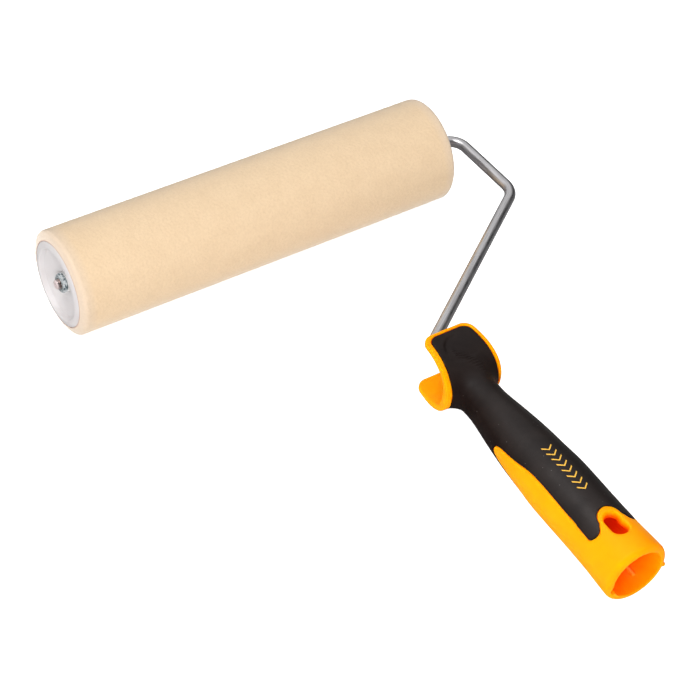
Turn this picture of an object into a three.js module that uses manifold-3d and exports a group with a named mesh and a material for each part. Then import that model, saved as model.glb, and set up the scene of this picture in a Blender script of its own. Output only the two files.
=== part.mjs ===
// Paint roller: a fabric-covered roller that spins on a bent wire frame, and a two-colour moulded handle
// with a socket for an extension pole.
// Millimetres, +Z up. The roller's axis is the X axis, and the wire frame lies in the plane Z = 0.
// The origin is the centre of the wire's free threaded end. The handle runs towards -Y.
import * as THREE from "three";
import { mergeVertices } from "three/addons/utils/BufferGeometryUtils.js";
import Module from "manifold-3d";

const wasm = await Module();
wasm.setup();

// ---- Driving dimensions ----------------------------------------------------------------------------

// Roller. Its two ends are mirror images, so most lengths are counted inwards from an end plane.
const rollerLength = 246;
const rollerRadius = 30.6;
const coreOuterRadius = 24;
const coreInnerRadius = 22;
const pileBevel = 5;

// End cap: a dished white disc with a skirt that presses into the core and a hub around the axle.
const capRadius = 25;
const capRimWidth = 3;
const capFlange = 1.8;
const capWall = 1.8;
const dishDepth = 5.3;
const skirtLength = 16;
const hubRadius = 7;
const hubLength = 17;

// Bush pressed into each hub, and the loose washer outside it.
const bushRadius = 4.5;
const bushFlangeRadius = 5.8;
const bushFlange = 1;
const bushLength = 18;
const washerRadius = 5.3;
const washerThickness = 0.8;

// Wire frame.
const wireRadius = 3.25;
const threadRadius = 3;
const threadLength = 6.2;
const tipProud = 1.1;
const armOffset = 142.4;
const elbow = new THREE.Vector2(145.15, -55.5);
const handleOffset = 33.7;
const handleBendY = -135.9;
const wireEndY = -236;
const bendRadii = [11, 9, 12];
const wireFlat = { width: 10, length: 14, fromEnd: 10 };

// Thin nut on the wire's threaded end, and the collar pressed on the wire at the roller's other end.
const nutAcrossFlats = 10;
const nutHeight = 3.1;
const nutTurn = 24;
const collarRadius = 5.4;
const collarLength = 4;

// Handle: a turned shape about a line along Y. Each row is [distance behind the roller's axis, radius].
const handleEnd = 318.6;
const handleProfile = [
  [187, 11.65],
  [199, 12.9],
  [212, 14.55],
  [226, 15.9],
  [240, 16.8],
  [249, 17.5],
  [256, 17.65],
  [275, 17.6],
  [300, 17.9],
];
const flareRadius = 18.6;
const rimFaceRadius = 15.9;
const rimRounding = 4;
const neckFoot = { fillet: 19, turn: 0.4, flatness: 0.85 };

// Head: a U-shaped channel across the front of the handle, open towards the roller.
// Seen from above it widens towards the handle.
const head = {
  front: 144,
  back: 175.2,
  innerBack: 170,
  straightTo: 152,
  halfHeight: 18.4,
  frontHalfWidth: 15.1,
  backHalfWidth: 17,
  lip: 3.1,
  corner: 6,
  squareness: 2.3,
};

// Rubber cover over the handle, let into the plastic so that both surfaces are level.
const coverThickness = 1.8;
const padThickness = 1.2;
const padBorder = 2.5;
const padCorner = 4.5;

// Bare side panels: a leaf on each side of the handle, and the tab around the hanging slot.
const panelUpperEdge = [
  [-214.4, 0],
  [-215.8, 2.6],
  [-219, 4.3],
  [-226, 5.7],
  [-234, 7.3],
  [-243, 9.4],
  [-252, 10.3],
  [-270, 10.1],
  [-296, 9.6],
];
const coverEnd = 297.3;
const tabRadius = 6.2;
const tabCentre = 291.8;
const lobeRadius = 2.8;
const lobeInnerEdge = 7.6;
const lobeOuterEdge = 14.7;

// Hanging slot through both walls, and the tapered socket for a pole.
const slotHalfWidth = 4.8;
const slotEnds = [289.3, 304.3];
const socketProfile = [
  [318.6, 14.6],
  [296, 13.3],
  [250, 11],
];
const socketRib = { start: 306, length: 40, height: 0.8, width: 1.4, angle: -64 };

// Clearances.
const runningGap = 0.1;
const faceGap = 0.1;
const mouldGap = 0.3;

// ---- Derived places --------------------------------------------------------------------------------

const rollerCentre = rollerLength / 2 + tipProud;
const outerEnd = rollerCentre - rollerLength / 2;
const innerEnd = rollerCentre + rollerLength / 2;
const handleAxis = rollerCentre + handleOffset;
const nutInnerFace = outerEnd + dishDepth - 2 * faceGap - washerThickness;
const capSegments = 40;
const smallSegments = 28;
const handleSegments = 32;
const channelSteps = 9;

// ---- Shape helpers ---------------------------------------------------------------------------------

const toXAxis = new THREE.Matrix4().makeRotationZ(-Math.PI / 2);
const sideways = new THREE.Matrix4().makeBasis(
  new THREE.Vector3(0, 1, 0),
  new THREE.Vector3(0, 0, 1),
  new THREE.Vector3(1, 0, 0),
);

function solidOf(geometry) {
  const bare = geometry.clone();
  bare.deleteAttribute("normal");
  bare.deleteAttribute("uv");
  const merged = mergeVertices(bare, 1e-4);
  const vertProperties = merged.attributes.position.array;
  const triVerts = new Uint32Array(merged.index.array);
  return new wasm.Manifold(new wasm.Mesh({ numProp: 3, vertProperties, triVerts }));
}

function geometryOf(solid) {
  const mesh = solid.getMesh();
  const geometry = new THREE.BufferGeometry();
  geometry.setAttribute("position", new THREE.BufferAttribute(mesh.vertProperties, 3));
  geometry.setIndex(new THREE.BufferAttribute(mesh.triVerts, 1));
  geometry.computeVertexNormals();
  return geometry;
}

// A turned piece about the X axis. The profile is [x, radius] pairs, listed with the solid on the left
// when x is drawn upwards and the radius to the right.
function turned(profile, segments) {
  const points = profile.map(([x, radius]) => new THREE.Vector2(radius, x));
  return new THREE.LatheGeometry(points, segments).applyMatrix4(toXAxis);
}

// A plain ring from x0 to x1.
function ring(x0, x1, innerRadius, outerRadius, segments = smallSegments) {
  const profile = [
    [x0, innerRadius],
    [x0, outerRadius],
    [x1, outerRadius],
    [x1, innerRadius],
    [x0, innerRadius],
  ];
  return turned(profile, segments);
}

// A turned piece about a line parallel to Y, at the handle's place.
function turnedHandle(points) {
  return new THREE.LatheGeometry(points, handleSegments).translate(handleAxis, 0, 0);
}

// A straight prism of a plan outline (x, y), cut from below to above everything.
function planPrism(shape, halfHeight = 40) {
  const options = { depth: 2 * halfHeight, bevelEnabled: false, curveSegments: 8 };
  return new THREE.ExtrudeGeometry(shape, options).translate(0, 0, -halfHeight);
}

// A prism of a side outline (y, z), running along X and centred on the handle.
function sidePrism(shape, halfWidth) {
  const options = { depth: 2 * halfWidth, bevelEnabled: false, curveSegments: 8 };
  const prism = new THREE.ExtrudeGeometry(shape, options).applyMatrix4(sideways);
  return prism.translate(handleAxis - halfWidth, 0, 0);
}

function moulded(name, geometry, material) {
  const mesh = new THREE.Mesh(geometry, material);
  mesh.name = name;
  return mesh;
}

// Turns the outer end's geometry into the inner end's.
function atInnerEnd(mesh) {
  mesh.rotation.z = Math.PI;
  mesh.position.x = outerEnd + innerEnd;
  return mesh;
}

// ---- Materials -------------------------------------------------------------------------------------

const finish = (color, roughness, metalness = 0) =>
  new THREE.MeshStandardMaterial({ color, roughness, metalness });
const pile = finish(0xf7d9b2, 1);
const card = finish(0xc9a27c, 0.9);
const whitePlastic = finish(0xefebeb, 0.45);
const nylon = finish(0xe6e2d6, 0.5);
const platedSteel = finish(0xb6bac0, 0.3, 1);
const orangePlastic = finish(0xffb300, 0.4);
const blackRubber = finish(0x282323, 0.65);

// ---- Roller ----------------------------------------------------------------------------------------

// One end of the pile's outline, from the core out to the full radius, as [depth from the end, radius].
function pileEnd() {
  const face = 0.2;
  const foot = capRadius + 0.4;
  const crown = new THREE.CubicBezierCurve(
    new THREE.Vector2(face, foot),
    new THREE.Vector2(face + 0.3, rollerRadius - 2.4),
    new THREE.Vector2(pileBevel - 3.2, rollerRadius - 0.1),
    new THREE.Vector2(pileBevel, rollerRadius),
  );
  const shoulder = [
    [capFlange + faceGap, coreOuterRadius + runningGap],
    [capFlange + faceGap, foot],
  ];
  return [...shoulder, ...crown.getPoints(6).map((p) => [p.x, p.y])];
}

function pileCover() {
  const start = pileEnd().map(([depth, radius]) => [outerEnd + depth, radius]);
  const end = pileEnd().map(([depth, radius]) => [innerEnd - depth, radius]);
  const profile = [...start, ...end.reverse(), start[0]];
  return moulded("pile_cover", turned(profile, 52), pile);
}

function coreTube() {
  const start = outerEnd + capFlange + faceGap;
  const end = innerEnd - capFlange - faceGap;
  return moulded("core_tube", ring(start, end, coreInnerRadius, coreOuterRadius, capSegments), card);
}

// The cap's section: rim, dish and hub outside, and the skirt and the hub's other end inside.
function endCap(name) {
  const bore = bushRadius + runningGap;
  const dishFloor = outerEnd + dishDepth;
  const skirtOuter = coreInnerRadius - runningGap;
  const skirtInner = skirtOuter - capWall;
  const lip = 0.5;
  const seat = dishFloor + bushFlange;
  const profile = [
    [dishFloor + hubLength, bore],
    [seat, bore],
    [seat, bushFlangeRadius + runningGap],
    [dishFloor, bushFlangeRadius + runningGap],
    [dishFloor, hubRadius],
    [outerEnd + 0.4, capRadius - capRimWidth],
    [outerEnd, capRadius - capRimWidth + lip],
    [outerEnd, capRadius - lip],
    [outerEnd + lip, capRadius],
    [outerEnd + capFlange, capRadius],
    [outerEnd + capFlange, skirtOuter],
    [outerEnd + skirtLength - lip, skirtOuter],
    [outerEnd + skirtLength, skirtOuter - lip],
    [outerEnd + skirtLength, skirtInner],
    [outerEnd + capFlange + 1.2, skirtInner],
    [dishFloor + capWall, hubRadius + 1],
    [dishFloor + hubLength, hubRadius],
    [dishFloor + hubLength, bore],
  ];
  return moulded(name, turned(profile, capSegments), whitePlastic);
}

function bush(name) {
  const bore = wireRadius + runningGap;
  const face = outerEnd + dishDepth;
  const profile = [
    [face, bore],
    [face, bushFlangeRadius],
    [face + bushFlange - faceGap, bushFlangeRadius],
    [face + bushFlange - faceGap, bushRadius],
    [face + bushLength, bushRadius],
    [face + bushLength, bore],
    [face, bore],
  ];
  return moulded(name, turned(profile, smallSegments), nylon);
}

function washer(name) {
  const face = nutInnerFace + faceGap;
  const geometry = ring(face, face + washerThickness, wireRadius + runningGap, washerRadius);
  return moulded(name, geometry, nylon);
}

// ---- Wire frame ------------------------------------------------------------------------------------

// A polyline with rounded corners, in the plane Z = 0. It is sampled only where its direction changes,
// so that its straight runs stay single faces.
class BentWire extends THREE.Curve {
  constructor(corners, radii, arcSteps) {
    super();
    this.stations = [corners[0]];
    radii.forEach((radius, i) => this.addBend(corners.slice(i, i + 3), radius, arcSteps));
    this.stations.push(corners.at(-1));
  }

  addBend([before, corner, after], radius, steps) {
    const arriving = corner.clone().sub(before).normalize();
    const leaving = after.clone().sub(corner).normalize();
    const turn = Math.acos(arriving.dot(leaving));
    const side = Math.sign(arriving.cross(leaving));
    const start = corner.clone().addScaledVector(arriving, -radius * Math.tan(turn / 2));
    const normal = new THREE.Vector2(-arriving.y, arriving.x).multiplyScalar(side);
    const centre = start.clone().addScaledVector(normal, radius);
    for (let i = 0; i <= steps; i++) {
      const angle = (side * turn * i) / steps;
      this.stations.push(start.clone().rotateAround(centre, angle));
    }
  }

  getPoint(t) {
    const place = t * (this.stations.length - 1);
    const i = Math.min(Math.floor(place), this.stations.length - 2);
    const flat = this.stations[i].clone().lerp(this.stations[i + 1], place - i);
    return new THREE.Vector3(flat.x, flat.y, 0);
  }

  getPointAt(t) {
    return this.getPoint(t);
  }

  getTangentAt(t) {
    return this.getTangent(t, new THREE.Vector3());
  }
}

function wirePath() {
  const corners = [
    new THREE.Vector2(threadLength, 0),
    new THREE.Vector2(rollerCentre + armOffset, 0),
    new THREE.Vector2(rollerCentre + elbow.x, elbow.y),
    new THREE.Vector2(handleAxis, handleBendY),
    new THREE.Vector2(handleAxis, wireEndY),
  ];
  return new BentWire(corners, bendRadii, 6);
}

// The hammered wings near the wire's end that stop it turning in the handle.
function wireWings(allowance) {
  const thickness = wireRadius;
  const { width, length, fromEnd } = wireFlat;
  const grown = [width, length, thickness].map((side) => side + 2 * allowance);
  return new THREE.BoxGeometry(...grown).translate(handleAxis, wireEndY + fromEnd + length / 2, 0);
}

function frameRod() {
  const path = wirePath();
  const section = new THREE.Shape().absarc(0, 0, wireRadius, 0, 2 * Math.PI);
  const options = { extrudePath: path, steps: path.stations.length - 1, curveSegments: 14 };
  const wire = new THREE.ExtrudeGeometry(section, options);
  const chamfer = 0.7;
  const thread = [
    [0, 0],
    [0, threadRadius - chamfer],
    [chamfer, threadRadius],
    [threadLength + 1, threadRadius],
    [threadLength + 1, 0],
  ];
  const joined = solidOf(wire).add(solidOf(turned(thread, 24))).add(solidOf(wireWings(0)));
  return moulded("frame_rod", geometryOf(joined), platedSteel);
}

function stopCollar() {
  const face = innerEnd - nutInnerFace + outerEnd;
  const edge = 0.6;
  const bore = wireRadius + runningGap;
  const profile = [
    [face, bore],
    [face, collarRadius - edge],
    [face + edge, collarRadius],
    [face + collarLength - edge, collarRadius],
    [face + collarLength, collarRadius - edge],
    [face + collarLength, bore],
    [face, bore],
  ];
  return moulded("stop_collar", turned(profile, smallSegments), platedSteel);
}

// ---- Nut -------------------------------------------------------------------------------------------

function axleNut() {
  const corner = nutAcrossFlats / Math.sqrt(3);
  const outerFace = nutInnerFace - nutHeight;
  const hexagon = new THREE.CylinderGeometry(corner, corner, nutHeight, 6).applyMatrix4(toXAxis);
  hexagon.rotateX(THREE.MathUtils.degToRad(nutTurn)).translate(nutInnerFace - nutHeight / 2, 0, 0);
  const chamfer = 0.4;
  const chamferedRadius = nutAcrossFlats / 2 - 0.5;
  const envelope = [
    [outerFace - chamfer, 0],
    [outerFace - chamfer, chamferedRadius],
    [outerFace + chamfer, corner],
    [nutInnerFace - chamfer, corner],
    [nutInnerFace + chamfer, chamferedRadius],
    [nutInnerFace + chamfer, 0],
  ];
  const boreRadius = threadRadius + runningGap;
  const bore = new THREE.CylinderGeometry(boreRadius, boreRadius, 3 * nutHeight, smallSegments);
  bore.applyMatrix4(toXAxis).translate(nutInnerFace, 0, 0);
  const rounded = solidOf(hexagon).intersect(solidOf(turned(envelope, smallSegments)));
  return moulded("axle_nut", geometryOf(rounded.subtract(solidOf(bore))), platedSteel);
}

// ---- Handle ----------------------------------------------------------------------------------------

// The handle's outline behind the head, pushed in by inset: the neck, the long swell, and the rounded
// rim of the mouth.
function handleOutline(inset) {
  const swell = handleProfile.map(([y, radius]) => new THREE.Vector2(radius, -y));
  const outline = [new THREE.Vector2(0, -head.innerBack), new THREE.Vector2(swell[0].x, -head.innerBack)];
  outline.push(...new THREE.SplineCurve(swell).getPoints(10));
  const rimSteps = 5;
  for (let i = 0; i <= rimSteps; i++) {
    const angle = (Math.PI / 2) * (i / rimSteps);
    const radius = rimFaceRadius + (flareRadius - rimFaceRadius) * Math.cos(angle);
    outline.push(new THREE.Vector2(radius, -handleEnd + rimRounding * (1 - Math.sin(angle))));
  }
  outline.push(new THREE.Vector2(0, -handleEnd));
  return outline.map((p) => new THREE.Vector2(Math.max(p.x - inset, 0), p.y)).reverse();
}

// The foot by which the neck spreads into the back of the head: a fillet, flattened from top to bottom.
function neckFootShape(inset) {
  const [neckY, neckRadius] = handleProfile[0];
  const { fillet, turn, flatness } = neckFoot;
  const steps = 4;
  const start = neckRadius - 0.15;
  const outline = [new THREE.Vector2(0, -neckY), new THREE.Vector2(start - inset, -neckY)];
  for (let i = 1; i <= steps; i++) {
    const angle = (turn * i) / steps;
    const radius = start + fillet * (1 - Math.cos(angle));
    outline.push(new THREE.Vector2(radius - inset, -neckY + fillet * Math.sin(angle)));
  }
  outline.push(new THREE.Vector2(outline.at(-1).x, -head.innerBack), new THREE.Vector2(0, -head.innerBack));
  const foot = new THREE.LatheGeometry(outline, handleSegments).scale(1, 1, flatness);
  return foot.translate(handleAxis, 0, 0);
}

// One side of the U, from the lip at the front round to the middle of the back.
function channelSide(halfHeight, back) {
  const { front, straightTo, squareness } = head;
  const points = [new THREE.Vector2(-front, halfHeight)];
  for (let i = 0; i <= channelSteps; i++) {
    const angle = (Math.PI / 2) * (i / channelSteps);
    const across = Math.cos(angle) ** (2 / squareness) * halfHeight;
    const along = Math.sin(angle) ** (2 / squareness) * (back - straightTo);
    points.push(new THREE.Vector2(-straightTo - along, across));
  }
  return points;
}

// The channel's section, filled, so that two of them make the U's wall.
function channelShape(halfHeight, back) {
  const upper = channelSide(halfHeight, back);
  const lower = upper.slice(0, -1).reverse();
  return new THREE.Shape([...upper, ...lower.map((p) => new THREE.Vector2(p.x, -p.y))].reverse());
}

// The channel seen from above, its edge drawn in by border: it widens backwards from two rounded front
// corners.
function plateOutline(border, corner) {
  const depth = head.back - head.front;
  const slope = (head.backHalfWidth - head.frontHalfWidth) / depth;
  const lean = Math.atan(slope);
  const front = -head.front - border;
  const half = head.frontHalfWidth - border + slope * (border + corner);
  const reach = 30;
  const backHalf = half + slope * (reach - corner);
  const shape = new THREE.Shape();
  shape.moveTo(handleAxis - backHalf, front - reach);
  shape.lineTo(handleAxis + backHalf, front - reach);
  shape.absarc(handleAxis + half - corner, front - corner, corner, lean, Math.PI / 2);
  shape.absarc(handleAxis - half + corner, front - corner, corner, Math.PI / 2, Math.PI - lean);
  shape.closePath();
  return shape;
}

// The hollow of the U, opened forwards.
function channelHollow() {
  const halfHeight = head.halfHeight - head.lip;
  const hollow = channelShape(halfHeight, head.innerBack);
  const reach = 30;
  const forward = new THREE.BoxGeometry(80, reach, 2 * halfHeight);
  forward.translate(handleAxis, -head.front + reach / 2 - runningGap, 0);
  return solidOf(sidePrism(hollow, 40)).add(solidOf(forward));
}

// The handle's whole outside with nothing hollow, its surface pushed in by the two given depths.
function handleBlock(inset, padInset) {
  const outside = channelShape(head.halfHeight - padInset, head.back - padInset);
  const plan = solidOf(planPrism(plateOutline(0, head.corner)));
  const plate = solidOf(sidePrism(outside, 40)).intersect(plan);
  const grip = solidOf(turnedHandle(handleOutline(inset))).add(solidOf(neckFootShape(inset)));
  return plate.add(grip);
}

// The bare leaf on the handle's sides, seen from the side, grown by grow. It is the same below as above.
function sidePanel(grow) {
  const far = -handleEnd - 10;
  const [tip, ...rest] = panelUpperEdge;
  const upper = rest.map(([y, z]) => new THREE.Vector2(y, z + grow));
  upper.unshift(new THREE.Vector2(tip[0] + grow, 0));
  const edge = new THREE.SplineCurve(upper).getPoints(20);
  edge.push(new THREE.Vector2(far, edge.at(-1).y));
  const lower = edge.slice(1).map((p) => new THREE.Vector2(p.x, -p.y));
  return new THREE.Shape([...edge, ...lower.reverse()]);
}

// The grip's plan behind the head, shrunk by shrink: two rounded lobes at its end, and the bare tab
// around the hanging slot between them.
function gripPlan(shrink) {
  const wide = 30;
  const start = -head.back - 1;
  const radius = lobeRadius - shrink;
  const end = -coverEnd + shrink;
  const inner = lobeInnerEdge + shrink + radius;
  const outer = lobeOuterEdge - shrink - radius;
  const notch = 0.2;
  const step = -coverEnd + lobeRadius + shrink;
  const shape = new THREE.Shape();
  shape.moveTo(handleAxis - wide, start);
  shape.lineTo(handleAxis - wide, step);
  shape.lineTo(handleAxis - outer - radius, step);
  shape.absarc(handleAxis - outer, end + radius, radius, Math.PI, 1.5 * Math.PI);
  shape.absarc(handleAxis - inner, end + radius, radius, -Math.PI / 2, -notch);
  shape.absarc(handleAxis, -tabCentre, tabRadius + shrink, Math.PI, 0, true);
  shape.absarc(handleAxis + inner, end + radius, radius, Math.PI + notch, 1.5 * Math.PI);
  shape.absarc(handleAxis + outer, end + radius, radius, -Math.PI / 2, 0);
  shape.lineTo(handleAxis + outer + radius, step);
  shape.lineTo(handleAxis + wide, step);
  shape.lineTo(handleAxis + wide, start);
  shape.closePath();
  return shape;
}

// The space that the rubber may fill: inside its outline, off the side panels, and down to the given
// depths below the handle's outside.
function coverSpace(shrink, depth, padDepth) {
  const pad = solidOf(planPrism(plateOutline(padBorder + shrink, padCorner - shrink)));
  const grip = solidOf(planPrism(gripPlan(shrink))).subtract(solidOf(sidePrism(sidePanel(shrink), 40)));
  return pad.add(grip).subtract(handleBlock(depth, padDepth));
}

// The tapered pole socket, with a shallow rib down its wall.
function poleSocket() {
  const wall = socketProfile.map(([y, radius]) => new THREE.Vector2(radius, -y));
  const bottom = new THREE.Vector2(0, wall.at(-1).y + 4);
  const mouth = new THREE.Vector2(wall[0].x, -handleEnd - 2);
  const cone = [new THREE.Vector2(0, mouth.y), mouth, ...wall, bottom];
  const { start, length, height, width, angle } = socketRib;
  const buried = 4;
  const rib = new THREE.BoxGeometry(buried, length, width);
  rib.translate(wall[1].x - height + buried / 2, -start + length / 2, 0);
  rib.rotateY(-THREE.MathUtils.degToRad(angle)).translate(handleAxis, 0, 0);
  return solidOf(turnedHandle(cone)).subtract(solidOf(rib));
}

function hangingSlot() {
  const [near, far] = slotEnds;
  const shape = new THREE.Shape();
  shape.absarc(handleAxis, -near - slotHalfWidth, slotHalfWidth, 0, Math.PI);
  shape.absarc(handleAxis, -far + slotHalfWidth, slotHalfWidth, Math.PI, 2 * Math.PI);
  shape.closePath();
  return solidOf(planPrism(shape));
}

// The hole that the wire's end and its wings sit in.
function wireHole() {
  const length = -head.front - wireEndY + mouldGap;
  const hole = new THREE.CylinderGeometry(wireRadius + mouldGap, wireRadius + mouldGap, length, 24);
  hole.translate(handleAxis, wireEndY - mouldGap + length / 2, 0);
  return solidOf(hole).add(solidOf(wireWings(mouldGap)));
}

function handleBody() {
  const recess = coverSpace(0, coverThickness + mouldGap, padThickness + mouldGap);
  const openings = [channelHollow(), recess, poleSocket(), hangingSlot(), wireHole()];
  const body = openings.reduce((rest, opening) => rest.subtract(opening), handleBlock(0, 0));
  return moulded("handle_body", geometryOf(body), orangePlastic);
}

function gripCover() {
  const space = coverSpace(mouldGap, coverThickness, padThickness);
  const cover = handleBlock(0, 0).subtract(channelHollow()).intersect(space);
  return moulded("grip_cover", geometryOf(cover), blackRubber);
}

// ---- Assembly --------------------------------------------------------------------------------------

const roller = new THREE.Group();
roller.add(pileCover(), coreTube());
roller.add(endCap("outer_end_cap"), atInnerEnd(endCap("inner_end_cap")));
roller.add(bush("outer_bush"), atInnerEnd(bush("inner_bush")));

const frame = new THREE.Group();
frame.add(frameRod(), stopCollar(), axleNut(), handleBody(), gripCover());

const paintRoller = new THREE.Group();
paintRoller.add(roller, frame);
paintRoller.add(washer("outer_washer"), atInnerEnd(washer("inner_washer")));

export default paintRoller;
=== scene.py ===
"""Looks of the paint roller: pile, wire, hardware and two-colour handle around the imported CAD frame."""
import math

import bpy
import numpy as np
from mathutils import Matrix, Vector


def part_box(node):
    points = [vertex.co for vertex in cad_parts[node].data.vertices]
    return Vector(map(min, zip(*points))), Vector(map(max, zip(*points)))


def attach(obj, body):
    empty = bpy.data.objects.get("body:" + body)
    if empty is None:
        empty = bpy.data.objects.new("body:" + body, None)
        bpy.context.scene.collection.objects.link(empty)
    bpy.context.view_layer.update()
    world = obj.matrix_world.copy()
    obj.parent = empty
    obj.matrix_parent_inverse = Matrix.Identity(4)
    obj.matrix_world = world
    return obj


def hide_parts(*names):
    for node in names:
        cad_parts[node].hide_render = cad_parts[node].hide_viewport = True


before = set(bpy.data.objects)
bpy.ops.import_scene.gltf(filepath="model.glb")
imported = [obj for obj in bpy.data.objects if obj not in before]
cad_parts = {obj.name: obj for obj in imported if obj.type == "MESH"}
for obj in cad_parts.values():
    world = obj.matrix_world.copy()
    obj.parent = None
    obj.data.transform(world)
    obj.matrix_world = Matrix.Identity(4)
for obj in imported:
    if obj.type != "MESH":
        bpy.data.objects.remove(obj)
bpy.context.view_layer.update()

# ---- Places and sizes, in millimetres ---------------------------------------------------------------

MM = 0.001


def node_box(name):
    """Lowest and highest corner of a CAD node, in millimetres."""
    low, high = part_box(name)
    return np.array(low) / MM, np.array(high) / MM


PILE_HIGH = node_box("pile_cover")[1]
CAP_LOW, CAP_HIGH = node_box("outer_end_cap")
INNER_CAP_HIGH = node_box("inner_end_cap")[1]
CORE_LOW, CORE_HIGH = node_box("core_tube")
NUT_LOW, NUT_HIGH = node_box("axle_nut")
WASHER_LOW, WASHER_HIGH = node_box("outer_washer")
BUSH_LOW, BUSH_HIGH = node_box("outer_bush")
COLLAR_LOW, COLLAR_HIGH = node_box("stop_collar")
WIRE_LOW = node_box("frame_rod")[0]
HANDLE_LOW, HANDLE_HIGH = node_box("handle_body")

OUTER_END, INNER_END = CAP_LOW[0], INNER_CAP_HIGH[0]
PILE_RADIUS = PILE_HIGH[2]
CAP_RADIUS = CAP_HIGH[1]
CORE_RADIUS = CORE_HIGH[1]
CORE_WALL = 2.0
WIRE_RADIUS = 3.25
THREAD_RADIUS = 3.0
THREAD_PITCH = 1.0
THREAD_LENGTH = 6.2
NUT_FLATS = 10.0

# Wire: the corners of its path as (x, y), the radius of each bend, and the hammered wings in the handle.
HANDLE_AXIS = (HANDLE_LOW[0] + HANDLE_HIGH[0]) / 2
WIRE_CORNERS = [
    (THREAD_LENGTH, 0.0),
    (266.5, 0.0),
    (269.25, -55.5),
    (HANDLE_AXIS, -135.9),
    (HANDLE_AXIS, WIRE_LOW[1]),
]
WIRE_BENDS = [11.0, 13.0, 12.0]
WING_PLACE, WING_HALF = WIRE_LOW[1] + 17, 7.0
WING_HALF_WIDTH, WING_HALF_HEIGHT = 5.0, 1.6

# Handle: places along it are y coordinates, counted from the roller's axis, so they are negative.
HANDLE_END = HANDLE_LOW[1]
HEAD_FRONT = HANDLE_HIGH[1]
HEAD_HALF_HEIGHT = HANDLE_HIGH[2]
HEAD_LIP = 3.1
HEAD_BACK = -175.2
HEAD_INNER_BACK = -170.9
HEAD_STRAIGHT_TO = -152.0
HEAD_SQUARENESS = 2.3
HEAD_FRONT_HALF = 15.1
HEAD_BACK_HALF = (HANDLE_HIGH[0] - HANDLE_LOW[0]) / 2
HEAD_SKEW = 0.4
HEAD_CORNER, HEAD_EDGE = 6.0, 1.2
PLATE_REACH = 8
SWELL_PLACES = [-170, -178, -187, -199, -212, -226, -240, -249, -256, -275, -300, -312, -330]
SWELL_RADII = [12.4, 11.9, 11.65, 12.9, 14.55, 15.9, 16.8, 17.5, 17.65, 17.6, 17.9, 18.5, 18.8]
NECK_FILLET = 7.0
RIM_ROUNDING = 3.4
PAD_BORDER, PAD_SIDE_BORDER, PAD_SHIFT = 2.1, 2.8, 0.5
PAD_CORNER = 4.8
COVER_START = -176.2
COVER_END = -296.6
LEAF_EDGE = [
    (-214.4, 0.0), (-215.1, 1.9), (-217.0, 3.5), (-221.0, 4.8), (-226.0, 5.7), (-234.0, 7.3),
    (-243.0, 9.4), (-250.0, 10.2), (-258.0, 10.3), (-275.0, 10.0), (-300.0, 9.6),
]
TAB_RADIUS = 6.8
TAB_CENTRE = -291.8
LOBE_RADIUS = 3.5
LOBE_INNER, LOBE_OUTER = 8.1, 14.9
SLOT_HALF_WIDTH = 5.0
SLOT_NEAR, SLOT_FAR = -288.7, -304.4
SLOT_DRAFT = 0.17
SLOT_LEDGE = -296.0
SOCKET_PLACES = [-330.0, -318.6, -296.0, -250.0]
SOCKET_RADII = [15.26, 14.6, 13.3, 11.0]
SOCKET_BOTTOM = -246.0
SOCKET_ROUNDING, BOTTOM_ROUNDING = 0.6, 3.0
SOCKET_RIB_ANGLE, SOCKET_RIB_END = math.radians(-64), -311.0
SOCKET_RIB_HALF_WIDTH, SOCKET_RIB_PROUD = 0.9, 1.3
NICK_PLACE, NICK_RADIUS = (-13.5, HANDLE_END, -4.2), 2.1
NUB_PLACE, NUB_RADIUS = (17.6, HANDLE_END + 1.4, -3.6), 1.4
THUMB_CENTRE, THUMB_REACH = (0.4, -161.5), (10.2, 12.4)
THUMB_DEPTH = 0.75
RIB_START, RIB_PITCH, RIB_HEIGHT = -158.5, 1.45, 0.42
RIB_FIRST, RIB_LAST, RIB_BAND = (-2.8, -162.8), (3.2, -170.0), 4.2
COVER_DEPTH, PAD_DEPTH = 1.8, 1.5
GAP = 0.16
PRINT_CENTRE, PRINT_WIDTH = -0.6, 6.2
PRINT_START, PRINT_END, PRINT_COUNT = -237.5, -268.0, 8
PRINT_SLANT, PRINT_STROKE = 2.6, 0.9

# Pile: how far the nap of its ends is pressed back on one side, where round the roller, and its mesh.
PILE_PRESSED = 1.1
PILE_PRESSED_AT = math.radians(-100)
PILE_STEP, PILE_SEGMENTS, PILE_END_ROWS = 0.74, 260, 16

rng = np.random.default_rng(7)


# ---- Mesh helpers -----------------------------------------------------------------------------------

def add_piece(name, points, faces, body, material, replaces=(), sharp=32, attributes=None):
    """A mesh piece from points in millimetres, smooth apart from edges sharper than sharp degrees."""
    mesh = bpy.data.meshes.new(name)
    points = np.asarray(points, float).reshape(-1, 3) * MM
    faces = np.asarray(faces)
    mesh.vertices.add(len(points))
    mesh.vertices.foreach_set("co", points.astype(np.float32).ravel())
    mesh.loops.add(faces.size)
    mesh.loops.foreach_set("vertex_index", faces.astype(np.int32).ravel())
    mesh.polygons.add(len(faces))
    mesh.polygons.foreach_set("loop_start", np.arange(0, faces.size, faces.shape[1], dtype=np.int32))
    mesh.update(calc_edges=True)
    mesh.validate()
    for key, values in (attributes or {}).items():
        layer = mesh.attributes.new(key, "FLOAT_VECTOR", "POINT")
        layer.data.foreach_set("vector", np.asarray(values, np.float32).ravel())
    mesh.shade_smooth()
    mesh.set_sharp_from_angle(angle=math.radians(sharp))
    mesh.materials.append(material)
    piece = bpy.data.objects.new(name, mesh)
    bpy.context.scene.collection.objects.link(piece)
    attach(piece, body)
    if replaces:
        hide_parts(*replaces)


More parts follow.
